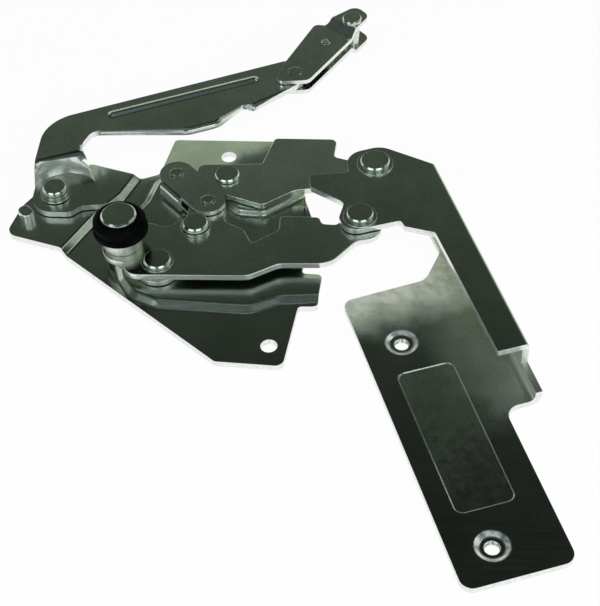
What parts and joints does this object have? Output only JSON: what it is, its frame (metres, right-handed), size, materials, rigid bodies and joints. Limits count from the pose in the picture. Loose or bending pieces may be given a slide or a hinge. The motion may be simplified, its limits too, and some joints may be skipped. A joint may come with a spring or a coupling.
{
  "type": "dishwasher door hinge",
  "caption": "Zinc-plated dishwasher door hinge: pressed base, linked plates, folded door arm with tapped flange, spring arm with pull link and rubber bumper.",
  "frame": {"origin": "axis of the upper fixing hole, on the back face of the base plate", "axes": "+Z along all pivots toward the visible side, +X along the base's top edge, the door flange points toward -Y"},
  "size_m": [0.1626, 0.2121, 0.0235],
  "materials": {
    "zinc_steel": "zinc plated, satin",
    "rubber": "matte moulded"
  },
  "bodies": {
    "base": {"base_plate": "zinc_steel", "toggle_pivot_rivet": "zinc_steel", "upper_pivot_rivet": "zinc_steel", "arm_pivot_rivet": "zinc_steel", "arm_pivot_washer": "zinc_steel"},
    "toggle": {"toggle_link": "zinc_steel", "toggle_pin": "zinc_steel"},
    "lower_link": {"lower_link": "zinc_steel", "reinforcing_plate": "zinc_steel", "link_rivet": "zinc_steel", "guide_pin": "zinc_steel", "guide_washer": "zinc_steel", "bumper_spacer": "zinc_steel", "rubber_bumper": "rubber", "bumper_stud": "zinc_steel", "door_lower_washer": "zinc_steel", "door_lower_rivet": "zinc_steel"},
    "door_arm": {"door_arm": "zinc_steel", "door_upper_washer": "zinc_steel", "door_upper_rivet": "zinc_steel"},
    "upper_link": {"upper_link": "zinc_steel"},
    "spring_arm": {"spring_arm": "zinc_steel"},
    "pull_link": {"pull_cheek_upper": "zinc_steel", "pull_cheek_lower": "zinc_steel", "pull_rivet": "zinc_steel", "fork_rivet": "zinc_steel", "fork_spacer": "zinc_steel", "spring_pin": "zinc_steel"}
  },
  "joints": [
    {"name": "toggle_swing", "type": "hinge", "parent": "base", "child": "toggle", "pos_m": [-0.0139, -0.0164, 0], "axis": [0, 0, 1], "range_deg": [-72.28, 2.08]},
    {"name": "lower_link_swing", "type": "hinge", "parent": "toggle", "child": "lower_link", "pos_m": [-0.0031, -0.0281, 0], "axis": [0, 0, 1], "range_deg": [-2.08, 72.28]},
    {"name": "door_swing", "type": "hinge", "parent": "lower_link", "child": "door_arm", "pos_m": [0.0426, -0.0346, 0], "axis": [0, 0, 1], "range_deg": [-52, 1.5]},
    {"name": "upper_link_swing", "type": "hinge", "parent": "base", "child": "upper_link", "pos_m": [0.0014, -0.0156, 0], "axis": [0, 0, 1], "range_deg": [-19.14, 0.55]},
    {"name": "spring_arm_swing", "type": "hinge", "parent": "base", "child": "spring_arm", "pos_m": [-0.0506, -0.0232, 0], "axis": [0, 0, 1], "range_deg": [-10, 20]},
    {"name": "pull_link_swing", "type": "hinge", "parent": "spring_arm", "child": "pull_link", "pos_m": [0.0195, 0.028, 0], "axis": [0, 0, 1], "range_deg": [-20, 25]}
  ],
  "couplings": [
    {"joint": "toggle_swing", "follows": "door_swing", "ratio": 1.39},
    {"joint": "lower_link_swing", "follows": "door_swing", "ratio": -1.39},
    {"joint": "upper_link_swing", "follows": "door_swing", "ratio": 0.368}
  ]
}
